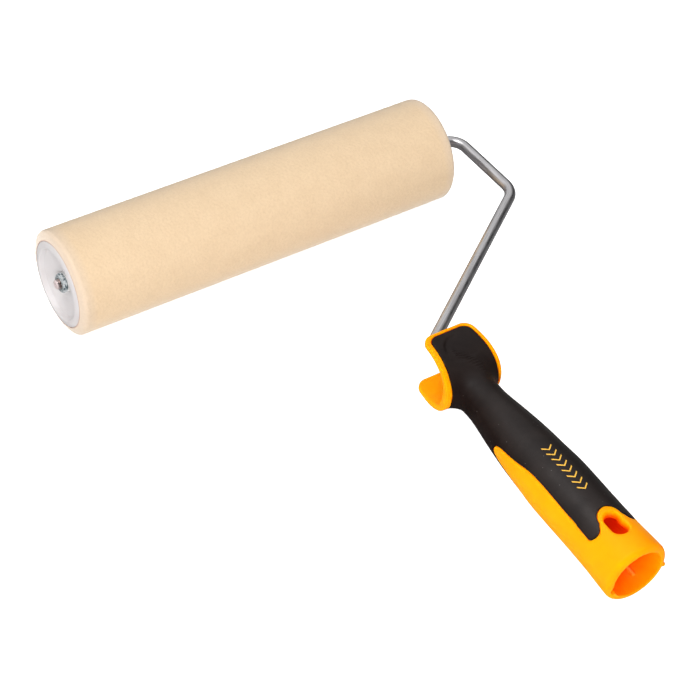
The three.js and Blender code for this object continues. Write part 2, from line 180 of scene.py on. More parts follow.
def grid_faces(rows, columns, wrap_rows=False):
    """Quads of a grid whose columns wrap round, and whose rows may."""
    r = np.arange(rows if wrap_rows else rows - 1)[:, None]
    c = np.arange(columns)[None, :]
    r2, c2 = (r + 1) % rows, (c + 1) % columns
    quads = [r * columns + c, r * columns + c2, r2 * columns + c2, r2 * columns + c]
    return np.stack([q.ravel() for q in np.broadcast_arrays(*quads)], 1)


def rounded(profile, radius, steps=4):
    """A closed profile with each corner turned into an arc, as far as its neighbours leave room."""
    points = np.array(profile, float)
    out = []
    for i, corner in enumerate(points):
        before, after = points[i - 1], points[(i + 1) % len(points)]
        a, b = before - corner, after - corner
        la, lb = np.linalg.norm(a), np.linalg.norm(b)
        a, b = a / la, b / lb
        half = math.acos(np.clip(a @ b, -1, 1)) / 2
        reach = min(radius / math.tan(half), 0.45 * la, 0.45 * lb)
        fit = reach * math.tan(half)
        if fit < 0.02:
            out.append(corner)
            continue
        centre = corner + (a + b) / np.linalg.norm(a + b) * (fit / math.sin(half))
        start = corner + a * reach - centre
        end = corner + b * reach - centre
        turn = math.acos(np.clip(start @ end / fit**2, -1, 1))
        for t in np.linspace(0, 1, steps + 1):
            blend = (math.sin((1 - t) * turn) * start + math.sin(t * turn) * end) / math.sin(turn)
            out.append(centre + blend)
    return np.array(out)


def turned_points(profile, segments):
    """Rows of points of a closed (x, radius) profile turned about the X axis."""
    angles = np.linspace(0, 2 * np.pi, segments, endpoint=False)
    x, radius = profile[:, :1], profile[:, 1:]
    return np.stack([x + 0 * angles, radius * np.cos(angles), radius * np.sin(angles)], 2)


def turned_piece(name, profile, segments, body, material, replaces):
    """A ring-shaped piece. The profile runs out along its first face, so that faces point outwards."""
    points = turned_points(np.asarray(profile, float), segments)
    faces = grid_faces(len(profile), segments, wrap_rows=True)
    add_piece(name, points, faces, body, material, replaces)


def mirrored(profile):
    """A profile at the roller's outer end, carried over to its inner end."""
    profile = np.array(profile, float)
    profile[:, 0] = OUTER_END + INNER_END - profile[:, 0]
    return profile[::-1]


def smooth_curve(xs, ys):
    """A natural cubic spline through the given points, as a function."""
    order = np.argsort(xs)
    x, y = np.array(xs, float)[order], np.array(ys, float)[order]
    h = np.diff(x)
    n = len(x)
    system = np.eye(n)
    right = np.zeros(n)
    for i in range(1, n - 1):
        system[i, i - 1 : i + 2] = h[i - 1], 2 * (h[i - 1] + h[i]), h[i]
        right[i] = 6 * ((y[i + 1] - y[i]) / h[i] - (y[i] - y[i - 1]) / h[i - 1])
    bend = np.linalg.solve(system, right)
    fine = np.linspace(x[0], x[-1], 1200)
    k = np.clip(np.searchsorted(x, fine) - 1, 0, n - 2)
    a, b, w = fine - x[k], x[k + 1] - fine, h[k]
    value = (bend[k] * b**3 + bend[k + 1] * a**3) / (6 * w)
    value += (y[k] / w - bend[k] * w / 6) * b + (y[k + 1] / w - bend[k + 1] * w / 6) * a
    return lambda q: np.interp(q, fine, value)


# ---- Solid shapes as distance functions -------------------------------------------------------------
# A distance is negative inside a shape. Coordinates are u across the handle, y along it and z up.

def both(a, b, radius):
    """The part that two shapes share, with its outer edges rounded."""
    reach = np.hypot(np.maximum(a + radius, 0), np.maximum(b + radius, 0))
    return np.minimum(np.maximum(a, b), -radius) + reach


def joined(a, b, radius):
    """Two shapes together, with a fillet where they meet."""
    reach = np.hypot(np.maximum(radius - a, 0), np.maximum(radius - b, 0))
    return np.maximum(np.minimum(a, b), radius) - reach


def outline_distance(outline, a, b):
    """Distance from points (a, b) to a closed outline."""
    best = np.full(a.shape, np.inf)
    inside = np.zeros(a.shape, bool)
    for (a0, b0), (a1, b1) in zip(outline, np.roll(outline, -1, 0)):
        da, db = a1 - a0, b1 - b0
        t = np.clip(((a - a0) * da + (b - b0) * db) / (da * da + db * db), 0, 1)
        best = np.minimum(best, np.hypot(a - a0 - t * da, b - b0 - t * db))
        if b0 != b1:
            inside ^= ((b0 > b) != (b1 > b)) & (a < a0 + (b - b0) / (b1 - b0) * da)
    return np.where(inside, -best, best)


def outline_table(outline, low, high, cell=0.2):
    """The distance to an outline as a function that looks it up in a fine table."""
    counts = [int(math.ceil((h - l) / cell)) + 1 for l, h in zip(low, high)]
    axes = [l + cell * np.arange(n) for l, n in zip(low, counts)]
    table = outline_distance(np.array(outline), *np.meshgrid(*axes, indexing="ij"))

    def look_up(a, b):
        p = np.clip((a - low[0]) / cell, 0, counts[0] - 1.001)
        q = np.clip((b - low[1]) / cell, 0, counts[1] - 1.001)
        p, q = np.broadcast_arrays(p, q)
        i, j = p.astype(int), q.astype(int)
        s, t = p - i, q - j
        near = table[i, j] * (1 - t) + table[i, j + 1] * t
        far = table[i + 1, j] * (1 - t) + table[i + 1, j + 1] * t
        return near * (1 - s) + far * s

    return look_up


swell = smooth_curve(SWELL_PLACES, SWELL_RADII)
leaf_curve = smooth_curve(range(len(LEAF_EDGE)), [p[0] for p in LEAF_EDGE])
leaf_height = smooth_curve(range(len(LEAF_EDGE)), [p[1] for p in LEAF_EDGE])


def leaf_outline():
    """The bare leaf on the handle's sides as (y, |z|), closed beyond the mouth."""
    t = np.linspace(0, len(LEAF_EDGE) - 1, 120)
    upper = np.stack([leaf_curve(t), leaf_height(t)], 1)
    return np.vstack([upper, [(-345, upper[-1, 1]), (-345, -30), (LEAF_EDGE[0][0], -30)]])


def arc(centre, radius, start, end, steps=16):
    """Points of an arc, its angles in degrees."""
    t = np.radians(np.linspace(start, end, steps))
    return [(centre[0] + radius * np.cos(a), centre[1] + radius * np.sin(a)) for a in t]


def grip_outline():
    """Where the rubber ends, in plan as (|u|, y): round the tab, then a rounded lobe, then outwards."""
    end = COVER_END + LOBE_RADIUS
    inner, outer = LOBE_INNER + LOBE_RADIUS, LOBE_OUTER - LOBE_RADIUS
    outline = [(-30, -150), (-30, TAB_CENTRE + TAB_RADIUS)]
    outline += arc((0, TAB_CENTRE), TAB_RADIUS, 90, 0)
    outline += arc((inner, end), LOBE_RADIUS, 190, 270)
    outline += arc((outer, end), LOBE_RADIUS, 270, 360)
    return outline + [(40, end), (40, -150)]


leaf_distance = outline_table(leaf_outline(), (-335, -2), (-200, 26))
grip_distance = outline_table(grip_outline(), (-2, -335), (26, -180))


def channel_distance(y, z, half_height, back):
    """The filled U of the head: flat above and below, and rounded towards its back."""
    depth = HEAD_STRAIGHT_TO - back
    along = np.maximum(HEAD_STRAIGHT_TO - y, 0) / depth
    across = np.abs(z) / half_height
    n = HEAD_SQUARENESS
    size = np.maximum((along**n + across**n) ** (1 / n), 0.3)
    slope = np.hypot((along / size) ** (n - 1) / depth, (across / size) ** (n - 1) / half_height)
    return (size - 1) / np.maximum(slope, 0.5 / half_height)


def plan_distance(u, y, border, side_border, corner):
    """The head seen from above: it widens backwards from two rounded front corners."""
    share = np.clip((HEAD_FRONT - y) / (HEAD_FRONT - HEAD_BACK), 0, 1.4)
    half = HEAD_FRONT_HALF + (HEAD_BACK_HALF - HEAD_SKEW - HEAD_FRONT_HALF) * share
    return both(np.abs(u - HEAD_SKEW * share) - half + side_border, y - HEAD_FRONT + border, corner)


def outer_distance(u, y, z):
    """The handle's whole outside, with nothing hollow."""
    outside = channel_distance(y, z, HEAD_HALF_HEIGHT, HEAD_BACK)
    plate = both(outside, plan_distance(u, y, 0, 0, HEAD_CORNER), HEAD_EDGE)
    plate = np.maximum(plate, HEAD_BACK - PLATE_REACH - y)
    shaft = np.hypot(u, z) - swell(y)
    grip = both(shaft, HANDLE_END - y, RIM_ROUNDING)
    grip = np.maximum(grip, y - HEAD_INNER_BACK)
    return joined(plate, grip, NECK_FILLET)


def hollow_distance(y, z):
    """The hollow of the U, open to the front."""
    return channel_distance(y, z, HEAD_HALF_HEIGHT - HEAD_LIP, HEAD_INNER_BACK)


def cover_zone(u, y, z):
    """The part of the surface that the rubber covers."""
    pad = plan_distance(u - PAD_SHIFT, y, PAD_BORDER, PAD_SIDE_BORDER, PAD_CORNER)
    zone = np.minimum(pad, y - COVER_START)
    zone = np.maximum(zone, -leaf_distance(y, np.abs(z)))
    return np.maximum(zone, grip_distance(np.abs(u), y))


def cover_depth(y):
    """Thickness of the rubber: thin on the head's pad, thicker on the grip."""
    return np.interp(y, [-182, -174], [COVER_DEPTH, PAD_DEPTH])


def slot_distance(u, y, depth):
    """The hanging slot: it narrows with depth, more so at a ledge half way down its right wall."""
    depth = np.clip(depth, 0, 5)
    ledge = 0.28 * depth * np.exp(-(((y - SLOT_LEDGE) / 3.0) ** 2)) * np.clip(u / 2, 0, 1)
    reach = SLOT_HALF_WIDTH - SLOT_DRAFT * depth - ledge
    along = y - np.clip(y, SLOT_FAR + SLOT_HALF_WIDTH, SLOT_NEAR - SLOT_HALF_WIDTH)
    return np.hypot(u, along) - reach


def socket_distance(u, y, z):
    """The tapered pole socket: slightly ragged at its mouth, with a small rib along its wall."""
    turn = np.arctan2(z, u)
    ragged = 0.14 * np.sin(9 * turn + 1) * np.sin(23 * turn) * np.clip(HANDLE_END + 2 - y, 0, 1)
    wall = np.hypot(u, z) - np.interp(y, SOCKET_PLACES, SOCKET_RADII) + ragged
    across = np.abs(-u * math.sin(SOCKET_RIB_ANGLE) + z * math.cos(SOCKET_RIB_ANGLE))
    side = u * math.cos(SOCKET_RIB_ANGLE) + z * math.sin(SOCKET_RIB_ANGLE)
    rib = np.maximum(np.maximum(across - SOCKET_RIB_HALF_WIDTH, SOCKET_RIB_END - y), -side)
    rib = np.maximum(rib, -wall - SOCKET_RIB_PROUD)
    wall = np.where(side > 0, both(wall, -rib, 0.2), wall)
    return both(wall, y - SOCKET_BOTTOM, BOTTOM_ROUNDING)


def mouth_flaws(u, y, z):
    """What deburring left at the mouth: a nick inside its left edge (first) and a nub on its right."""
    shapes = []
    for (centre_u, centre_y, centre_z), radius, stretch in (
        (NICK_PLACE, NICK_RADIUS, (1, 2, 1.5)),
        (NUB_PLACE, NUB_RADIUS, (1, 1, 0.8)),
    ):
        off = (u - centre_u) / stretch[0], (y - centre_y) / stretch[1], (z - centre_z) / stretch[2]
        shapes.append(np.sqrt(off[0] ** 2 + off[1] ** 2 + off[2] ** 2) - radius)
    return shapes


def wire_hole_distance(u, y, z):
    """The hole that the wire sits in, with room for its wings."""
    bore = np.maximum(np.hypot(u, z) - WIRE_RADIUS - GAP, WIRE_LOW[1] - GAP - y)
    wings = np.maximum(np.abs(u) - WING_HALF_WIDTH - 0.3, np.abs(z) - WING_HALF_HEIGHT - 0.35)
    wings = np.maximum(wings, np.abs(y - WING_PLACE) - WING_HALF - 0.3)
    return np.minimum(bore, wings)


def handle_distance(u, y, z):
    """The orange moulding: everything outside, less the rubber's recess and the openings."""
    outside = outer_distance(u, y, z)
    recess = np.maximum(cover_zone(u, y, z) - GAP, -(outside + cover_depth(y) + GAP))
    solid = both(outside, -recess, 0.35)
    solid = both(solid, -hollow_distance(y, z), 0.9)
    solid = both(solid, -slot_distance(u, y, -outside), 1.1)
    nick, nub = mouth_flaws(u, y, z)
    solid = joined(solid, nub, 0.3)
    solid = both(solid, -np.minimum(socket_distance(u, y, z), nick), SOCKET_ROUNDING)
    return both(solid, -wire_hole_distance(u, y, z), 0.3)


def thumb_relief(u, y, z):
    """Height of the thumb rest moulded on the pad: a shallow oval dish with a slanting band of ribs."""
    (centre_u, centre_y), (half_u, half_y) = THUMB_CENTRE, THUMB_REACH
    inside = (1 - np.hypot((u - centre_u) / half_u, (y - centre_y) / half_y)) * half_u
    wall = np.clip(inside / 1.6, 0, 1)
    deep_side = np.clip(1 + (y - centre_y - 8) / 8, 0, 1) * np.clip(0.6 - (u - centre_u) / 14, 0, 1)
    dish = -THUMB_DEPTH * deep_side * wall**2 * (3 - 2 * wall)
    wave = np.cos((y + 0.4 * np.minimum(u + 0.5, 0)) * 2 * np.pi / RIB_PITCH)
    slope = (RIB_LAST[1] - RIB_FIRST[1]) / (RIB_LAST[0] - RIB_FIRST[0])
    off_band = np.abs(y - RIB_FIRST[1] - slope * (u - RIB_FIRST[0]))
    field = np.clip(RIB_BAND - off_band, 0, 2) / 2 * np.clip(u + 6.0, 0, 1) * np.clip(7.2 - u, 0, 1)
    return np.where(z > 0, dish + RIB_HEIGHT * np.clip(wave, 0, 1) * field, 0)


def cover_distance(u, y, z):
    """The rubber: a shell over the handle, its edges rounded."""
    outside = outer_distance(u, y, z)
    lift = np.interp(y, [-182, -174], [0.1, -0.2])
    skin = outside - lift - thumb_relief(u, y, z)
    shell = both(skin, -(outside + cover_depth(y)), 0.2)
    return both(shell, cover_zone(u, y, z) + GAP, 0.45)


def unpinched(values):
    """Values without grid faces whose signs alternate round the corners, where the surface would pinch.

    On each such face, the outside corner nearest to the surface is taken inside.
    """
    strides = (values.shape[1] * values.shape[2], values.shape[2], 1)
    flat = values.ravel()
    values = flat.reshape(values.shape)
    pinched = True
    while pinched:
        pinched = False
        for a, b in ((0, 1), (0, 2), (1, 2)):
            inside = values < 0
            ahead, beside = np.roll(inside, -1, a), np.roll(inside, -1, b)
            across = np.roll(ahead, -1, b)
            faces = np.flatnonzero((inside == across) & (ahead == beside) & (inside != ahead))
            corners = faces[:, None] + [0, strides[a], strides[b], strides[a] + strides[b]]
            outside = np.where(flat[corners] < 0, np.inf, flat[corners])
            chosen = corners[np.arange(len(faces)), outside.argmin(1)]
            flat[chosen] = -np.abs(flat[chosen]) - 1e-6
            pinched = pinched or len(faces) > 0
    return values


def surface_net(distance, axes):
    """Points and quads of the surface where a distance is zero: found on a grid, then settled onto it."""
    values = unpinched(distance(*np.meshgrid(*axes, indexing="ij", sparse=True)))
    shape = np.array(values.shape)
    strides = np.array([shape[1] * shape[2], shape[2], 1])
    total = np.zeros((values.size, 3))
    count = np.zeros(values.size)
    inside = values < 0
    edges = []
    for axis in range(3):
        here = [slice(None)] * 3
        there = [slice(None)] * 3
        here[axis], there[axis] = slice(0, -1), slice(1, None)
        crossing = np.argwhere(inside[tuple(here)] != inside[tuple(there)])
        index = crossing @ strides
        v0 = values.ravel()[index]
        v1 = values.ravel()[index + strides[axis]]
        point = np.stack([axes[k][crossing[:, k]] for k in range(3)], 1)
        onward = axes[axis][crossing[:, axis] + 1]
        point[:, axis] += (onward - point[:, axis]) * v0 / (v0 - v1)
        u, v = (axis + 1) % 3, (axis + 2) % 3
        ring = [index - strides[u] - strides[v], index - strides[v], index, index - strides[u]]
        for cells in ring:
            for k in range(3):
                total[:, k] += np.bincount(cells, point[:, k], values.size)
            count += np.bincount(cells, minlength=values.size)
        ring = np.stack(ring, 1)
        flip = v0 > 0
        ring[flip] = ring[flip][:, ::-1]
        edges.append(ring)
    quads = np.vstack(edges)
    used = np.flatnonzero(count)
    place = np.zeros(values.size, np.int64)
    place[used] = np.arange(len(used))
    points = total[used] / count[used, None]
    return settled(points, place[quads], distance, np.diff(axes[0]).max()), place[quads]


def settled(points, quads, distance, cell):
    """Points evened out along the surface and moved exactly onto it."""
    n = len(points)
    ends = np.vstack([quads[:, [0, 1]], quads[:, [1, 2]], quads[:, [2, 3]], quads[:, [3, 0]]])
    degree = np.bincount(ends[:, 0], minlength=n)[:, None]

    def onto(p, limit):
        step = 0.02
        value = distance(*p.T)
        slope = np.empty_like(p)
        for k in range(3):
            shift = np.zeros(3)
            shift[k] = step
            slope[:, k] = (distance(*(p + shift).T) - distance(*(p - shift).T)) / (2 * step)
        size = np.maximum((slope**2).sum(1), 0.25)
        move = -slope * (value / size)[:, None]
        length = np.linalg.norm(move, axis=1, keepdims=True)
        return p + move * np.minimum(1, limit / np.maximum(length, 1e-9))

    for _ in range(3):
        mean = np.stack([np.bincount(ends[:, 0], points[ends[:, 1], k], n) for k in range(3)], 1) / degree
        points = points + 0.5 * (mean - points)
        points = onto(points, cell)
    return onto(onto(points, 0.5 * cell), 0.25 * cell)


# ---- Materials --------------------------------------------------------------------------------------

class Shader:
    """A material under construction. Values that are sockets are linked, others are set."""

    def __init__(self, name):
        self.material = bpy.data.materials.new(name)
        self.material.use_nodes = True
        self.tree = self.material.node_tree
        self.surface = self.tree.nodes["Principled BSDF"]
        self.place = self.add("TexCoord").outputs["Object"]

    def add(self, kind, inputs=None, **settings):
        node = self.tree.nodes.new("ShaderNode" + kind)
        for key, value in settings.items():
            setattr(node, key, value)
        for key, value in (inputs or {}).items():
            self.put(node.inputs[key], value)
        return node

    def put(self, socket, value):
        if isinstance(value, bpy.types.NodeSocket):
            self.tree.links.new(value, socket)
        else:
            socket.default_value = value

    def set(self, **inputs):
        for key, value in inputs.items():
            self.put(self.surface.inputs[key.replace("_", " ")], value)

    def noise(self, size, detail=3, rough=0.5, stretch=(1, 1, 1)):
        """Noise whose features are about size millimetres across."""
        scaled = self.add("Mapping", {"Vector": self.place, "Scale": stretch}).outputs[0]
        inputs = {"Vector": scaled, "Scale": 1 / (size * MM), "Detail": detail, "Roughness": rough}
        return self.add("TexNoise", inputs).outputs["Fac"]

    def ramp(self, factor, low, high, start=0.35, end=0.65):
        """A blend from low to high while factor goes from start to end. Both are numbers or colours."""
        if isinstance(low, tuple):
            node = self.add("ValToRGB", {"Fac": factor})
            stops = node.color_ramp.elements
            stops[0].position, stops[0].color = start, (*low, 1)
            stops[1].position, stops[1].color = end, (*high, 1)
            return node.outputs["Color"]
        inputs = {"Value": factor, 1: start, 2: end, 3: low, 4: high}
        return self.add("MapRange", inputs).outputs[0]

    def coordinates(self):
        """The three coordinates of a point of the piece, in metres."""
        return self.add("SeparateXYZ", {"Vector": self.place}).outputs

    def radius(self, a, b, centre=0):
        """Distance from an axis at centre millimetres along the first coordinate."""
        across = self.add("Math", {0: a, 1: centre * MM}, operation="SUBTRACT").outputs[0]
        flat = self.add("CombineXYZ", {"X": across, "Y": b}).outputs[0]
        return self.add("VectorMath", {0: flat}, operation="LENGTH").outputs["Value"]

    def mixed(self, share, colour, other, how="MIX"):
        """A colour with a share of another one mixed in or laid over it."""
        node = self.add("Mix", data_type="RGBA", blend_type=how)
        for key, value in (("Factor", share), ("A", colour), ("B", other)):
            socket = next(k for k in node.inputs if k.name == key and k.enabled)
            self.put(socket, value)
        return next(k for k in node.outputs if k.enabled)

    def bump(self, height, depth, strength=1.0, over=None):
        """Relief of the given depth in millimetres, on top of an earlier relief."""
        inputs = {"Height": height, "Distance": depth * MM, "Strength": strength}
        node = self.add("Bump", inputs)
        if over is not None:
            self.put(node.inputs["Normal"], over)
        return node.outputs["Normal"]


def fabric_material():
    """Short cream pile: mottled and tufted, paler towards its ends from a painted sheen, brown where the
    backing shows.
    """
    s = Shader("cream_pile")
    mottle = s.noise(9, 3)
    tufts = s.noise(1.3, 3, 0.6)
    fibres = s.noise(0.35, 2, 0.7)
    x, y, z = s.coordinates()
    base = s.ramp(mottle, (0.785, 0.588, 0.382), (0.805, 0.608, 0.398))
    near_end = s.add("Math", {0: x, 1: (OUTER_END + INNER_END) / 2 * MM}, operation="SUBTRACT").outputs[0]
    near_end = s.add("Math", {0: near_end}, operation="ABSOLUTE").outputs[0]
    half = (INNER_END - OUTER_END) / 2
    # Painted sheen: the colour turns paler and greyer towards the ends, as if light caught the tufts
    # end-on.
    painted_end_sheen = s.ramp(near_end, 0.0, 1.0, (half - 9) * MM, (half - 1) * MM)
    base = s.mixed(painted_end_sheen, base, (0.74, 0.59, 0.45, 1))
    backing = s.ramp(s.radius(y, z), 1.0, 0.0, (CAP_RADIUS + 0.3) * MM, (CAP_RADIUS + 0.75) * MM)
    base = s.mixed(backing, base, (0.50, 0.27, 0.20, 1))
    grain = s.ramp(tufts, (0.945, 0.935, 0.925), (1.0, 1.0, 1.0), 0.3, 0.6)
    colour = s.mixed(1.0, base, grain, "MULTIPLY")
    relief = s.bump(fibres, 0.2, 0.5, s.bump(tufts, 0.4, 0.35))
    s.set(Base_Color=colour, Roughness=0.95, Normal=relief)
    s.set(Sheen_Weight=0.9, Sheen_Roughness=0.4, Sheen_Tint=(1.0, 0.97, 0.91, 1), Specular_IOR_Level=0.1)
    return s.material


def socket_rib_highlight(s, y):
    """More than zero on the small rib inside the socket, where a paler painted highlight is laid over the
    wall's colour.
    """
    angle = SOCKET_RIB_ANGLE
    along_rib = Vector((math.cos(angle), 0, math.sin(angle)))
    across_rib = Vector((-math.sin(angle), 0, math.cos(angle)))
    place = s.add("VectorMath", {0: s.place, 1: (HANDLE_AXIS * MM, 0, 0)}, operation="SUBTRACT").outputs[0]
    side = s.add("VectorMath", {0: place, 1: along_rib}, operation="DOT_PRODUCT").outputs["Value"]
    across = s.add("VectorMath", {0: place, 1: across_rib}, operation="DOT_PRODUCT").outputs["Value"]
    across = s.add("Math", {0: across}, operation="ABSOLUTE").outputs[0]
    mask = s.ramp(across, 0.65, 0.0, 0.3 * MM, 1.0 * MM)
    for part in (
        s.ramp(side, 0.0, 1.0, 9 * MM, 10 * MM),
        s.ramp(side, 1.0, 0.0, 15 * MM, 16 * MM),
        s.ramp(y, 0.0, 1.0, (SOCKET_RIB_END - 0.5) * MM, (SOCKET_RIB_END + 0.5) * MM),
    ):
        mask = s.add("Math", {0: mask, 1: part}, operation="MULTIPLY").outputs[0]
    return mask


def plastic_material(name, low, high, roughness, gloss=0.4, painted_depth_shade=None):
    """Satin moulded plastic: a faint cloudiness, uneven gloss and a fine mould grain.

    Light soaks into it. Given a deep colour, painted shade turns the holes to it, and a painted red glow
    lights it.
    """
    s = Shader(name)
    cloud = s.noise(24, 2)
    grain = s.noise(0.5, 2)
    waves = s.noise(7, 2)
    colour = s.ramp(cloud, low, high)
    if painted_depth_shade:
        x, y, z = s.coordinates()
        # Painted shade: deep inside the socket the colour is mixed towards the given deep red.
        depth_shade_share = s.ramp(s.radius(x, z, HANDLE_AXIS), 1.0, 0.0, 14.4 * MM, 16.6 * MM)
        backwards = s.ramp(y, 0.0, 1.0, -319 * MM, -305 * MM)
        ahead = s.ramp(y, 1.0, 0.0, -245 * MM, -240 * MM)
        depth_shade_share = s.add("Math", {0: depth_shade_share, 1: backwards}, operation="MULTIPLY").outputs[0]
        depth_shade_share = s.add("Math", {0: depth_shade_share, 1: ahead}, operation="MULTIPLY").outputs[0]
        colour = s.mixed(depth_shade_share, colour, (*painted_depth_shade, 1))
        # Painted highlight: a paler streak along the small rib in the socket.
        colour = s.mixed(socket_rib_highlight(s, y), colour, (1.0, 0.3, 0.05, 1))
    s.set(Base_Color=colour, Roughness=s.ramp(waves, roughness - 0.05, roughness + 0.07))
    s.set(Normal=s.bump(grain, 0.02, 0.5, s.bump(waves, 0.12, 0.3)), Specular_IOR_Level=gloss)
    s.set(Subsurface_Weight=0.5 if painted_depth_shade else 0.1, Subsurface_Scale=(5 if painted_depth_shade else 2) * MM)
    s.set(Subsurface_Radius=(1.0, 0.14, 0.03) if painted_depth_shade else (1.0, 0.8, 0.7))
    if painted_depth_shade:
        # Painted glow: a faint red emission over the whole moulding, weaker deep inside the socket, keeps
        # shaded sides orange-red.
        glow = s.ramp(depth_shade_share, 0.2, 0.045, 0.5, 1.0)
        s.set(Emission_Color=(1.0, 0.05, 0.0, 1), Emission_Strength=glow)
    return s.material


def rubber_material():
    """Soft-touch rubber: eroded mould grain, rubbed paler here and there, with specks of dust."""
    s = Shader("black_rubber")
    rubbed = s.noise(18, 4, 0.6)
    grain = s.noise(0.45, 3, 0.65)
    dust = s.add("TexVoronoi", {"Vector": s.place, "Scale": 1 / (5.5 * MM), "Randomness": 1.0})
    speck = s.ramp(dust.outputs["Distance"], 1.0, 0.0, 0.035, 0.06)
    base = s.ramp(rubbed, (0.0075, 0.0036, 0.003), (0.0145, 0.0085, 0.007))
    share = s.add("Math", {0: speck, 1: 0.25}, operation="MULTIPLY").outputs[0]
    colour = s.mixed(share, base, (0.25, 0.23, 0.22, 1))
    _, y, z = s.coordinates()
    top = s.ramp(z, 0.0, 1.0, 6 * MM, 13 * MM)
    behind_head = s.ramp(y, 1.0, 0.0, -180 * MM, -171 * MM)
    shine = s.ramp(top, 0.07, s.ramp(behind_head, 0.2, 0.33, 0.0, 1.0), 0.0, 1.0)
    s.set(Base_Color=colour, Roughness=s.ramp(rubbed, 0.52, 0.42))
    s.set(Normal=s.bump(grain, 0.06, 0.5), Specular_IOR_Level=shine)
    return s.material


def steel_material(
    name, colour, shade, roughness, streak, size=0.6, metal=1.0, bands=(0.3, 0.62), grain=None
):
    """Plated steel with drawn streaks and uneven polish.

    The wire names a point attribute, grain, that its streaks follow. Its thread is bare and its end dull.
    """
    s = Shader(name)
    along = s.coordinates()[0]
    if grain:
        s.place = s.add("Attribute", attribute_name=grain).outputs["Vector"]
    streaks = s.noise(size, 4, 0.65, streak)
    patches = s.noise(12, 2)
    plated = s.ramp(streaks, shade, colour, *bands)
    if grain:
        bare = s.ramp(along, 1.0, 0.0, (THREAD_LENGTH - 0.8) * MM, THREAD_LENGTH * MM)
        tip = s.ramp(along, 0.25, 1.0, 0.9 * MM, 2.0 * MM)
        bare = s.add("Math", {0: bare, 1: tip}, operation="MULTIPLY").outputs[0]
        sheared = s.ramp(along, 1.0, 0.0, 0.5 * MM, 1.3 * MM)
        plated = s.mixed(bare, plated, (0.50, 0.38, 0.35, 1))
        plated = s.mixed(sheared, plated, (0.72, 0.60, 0.59, 1))
        metal = s.ramp(sheared, 1.0, 0.25, 0.0, 1.0)
    s.set(Base_Color=plated, Metallic=metal)
    s.set(Roughness=s.ramp(patches, roughness - 0.06, roughness + 0.08))
    s.set(Normal=s.bump(streaks, 0.03, 0.6))
    return s.material


def card_material():
    """Brown card of the core tube, with fibres running round it."""
    s = Shader("core_card")
    fibre = s.noise(1.2, 4, 0.7, (3, 1, 1))
    s.set(Base_Color=s.ramp(fibre, (0.36, 0.19, 0.11), (0.55, 0.34, 0.22)), Roughness=0.85)
    s.set(Normal=s.bump(fibre, 0.15, 0.6))
    return s.material


def print_material():
    """Worn orange printing ink."""
    s = Shader("orange_print")
    wear = s.noise(0.8, 4, 0.7)
    s.set(Base_Color=s.ramp(wear, (0.75, 0.36, 0.02), (1.0, 0.56, 0.06), 0.3, 0.5), Roughness=0.5)
    s.set(Normal=s.bump(wear, 0.02, 0.5))
    return s.material


PILE = fabric_material()
CARD = card_material()
CAP = plastic_material("white_plastic", (0.64, 0.605, 0.605), (0.68, 0.65, 0.65), 0.38)
NYLON = plastic_material("natural_nylon", (0.64, 0.63, 0.62), (0.70, 0.69, 0.68), 0.42)
# The last colour is painted shade for inside the holes.
ORANGE = plastic_material(
    "orange_plastic", (1.0, 0.365, 0.0), (1.0, 0.40, 0.0), 0.4, gloss=0.08, painted_depth_shade=(1.0, 0.11, 0.0)
)
RUBBER = rubber_material()
WIRE = steel_material(
    "drawn_wire", (0.66, 0.65, 0.66), (0.42, 0.41, 0.42), 0.3, (1, 1, 0.03), grain="grain"
)
ZINC = steel_material(
    "zinc_plate", (0.80, 0.87, 0.89), (0.05, 0.10, 0.12), 0.2, (1, 1, 0.15), 1.2, 0.75, (0.42, 0.53)
)
INK = print_material()


# ---- Roller -----------------------------------------------------------------------------------------

def random_relief(rows, columns, row_step, column_step, size, spread):
    """A seeded field that repeats both ways, with features about size millimetres across."""
    waves = np.fft.fft2(rng.standard_normal((rows, columns)))
    fr = np.fft.fftfreq(rows, row_step)[:, None]
    fc = np.fft.fftfreq(columns, column_step)[None, :]
    band = np.exp(-((np.hypot(fr, fc) * size - 1) ** 2) / (2 * spread**2))
    field = np.real(np.fft.ifft2(waves * band))
    return field / field.std()


def pile_end():
    """The pile's outline at one end as (depth, radius), from the core out to the full radius."""
    face, foot = 0.3, CAP_RADIUS + 0.15
    corners = [(face, foot), (0.9, PILE_RADIUS - 0.9), (1.5, PILE_RADIUS + 0.15), (4.2, PILE_RADIUS)]
    p = np.array(corners)
    t = np.linspace(0, 1, 15)[:, None]
    crown = (1 - t) ** 3 * p[0] + 3 * (1 - t) ** 2 * t * p[1] + 3 * (1 - t) * t**2 * p[2] + t**3 * p[3]
    flange = 1.9
    return np.vstack([[(flange, CORE_RADIUS + 0.1), (flange, foot)], crown])


